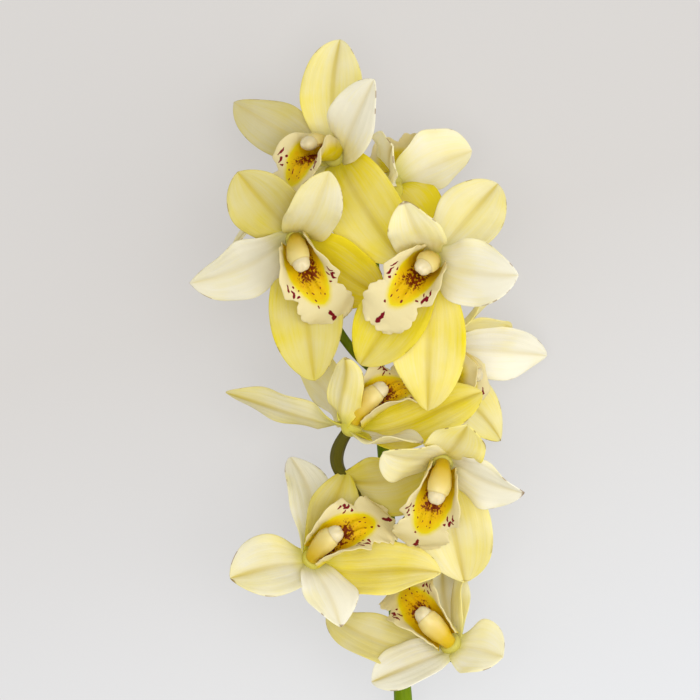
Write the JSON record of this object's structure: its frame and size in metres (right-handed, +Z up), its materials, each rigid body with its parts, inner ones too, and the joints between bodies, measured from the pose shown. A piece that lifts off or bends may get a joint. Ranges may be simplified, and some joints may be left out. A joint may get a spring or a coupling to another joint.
{
  "type": "cymbidium orchid stem",
  "caption": "Cut flower stem of a yellow cymbidium orchid lying on a surface, with open blooms on short stalks round its upper half.",
  "frame": {"origin": "bottom centre of the bounding box, on the surface that the stem lies on", "axes": "+Y along the stem from the cut end to the top bloom, +Z up from the surface, +X to the right seen from above with the top bloom away"},
  "size_m": [0.1559, 0.4856, 0.1071],
  "materials": {
    "tepal": "satin, waxy petal",
    "lip": "satin, white rim with yellow middle and crimson marks",
    "column": "waxy",
    "anther_cap": "satin",
    "stem": "fresh green, slightly glossy"
  },
  "bodies": {
    "root": {"stem": "stem", "bloom_1_tepals": "tepal", "bloom_1_lip": "lip", "bloom_1_column": "column", "bloom_1_anther_cap": "anther_cap", "bloom_2_tepals": "tepal", "bloom_2_lip": "lip", "bloom_2_column": "column", "bloom_2_anther_cap": "anther_cap", "bloom_3_tepals": "tepal", "bloom_3_lip": "lip", "bloom_3_column": "column", "bloom_3_anther_cap": "anther_cap", "bloom_4_tepals": "tepal", "bloom_4_lip": "lip", "bloom_4_column": "column", "bloom_4_anther_cap": "anther_cap", "bloom_5_tepals": "tepal", "bloom_5_lip": "lip", "bloom_5_column": "column", "bloom_5_anther_cap": "anther_cap", "bloom_6_tepals": "tepal", "bloom_6_lip": "lip", "bloom_6_column": "column", "bloom_6_anther_cap": "anther_cap", "bloom_7_tepals": "tepal", "bloom_7_lip": "lip", "bloom_7_column": "column", "bloom_7_anther_cap": "anther_cap", "bloom_8_tepals": "tepal", "bloom_8_lip": "lip", "bloom_8_column": "column", "bloom_8_anther_cap": "anther_cap", "bloom_9_tepals": "tepal", "bloom_9_lip": "lip", "bloom_9_column": "column", "bloom_9_anther_cap": "anther_cap"}
  },
  "joints": []
}
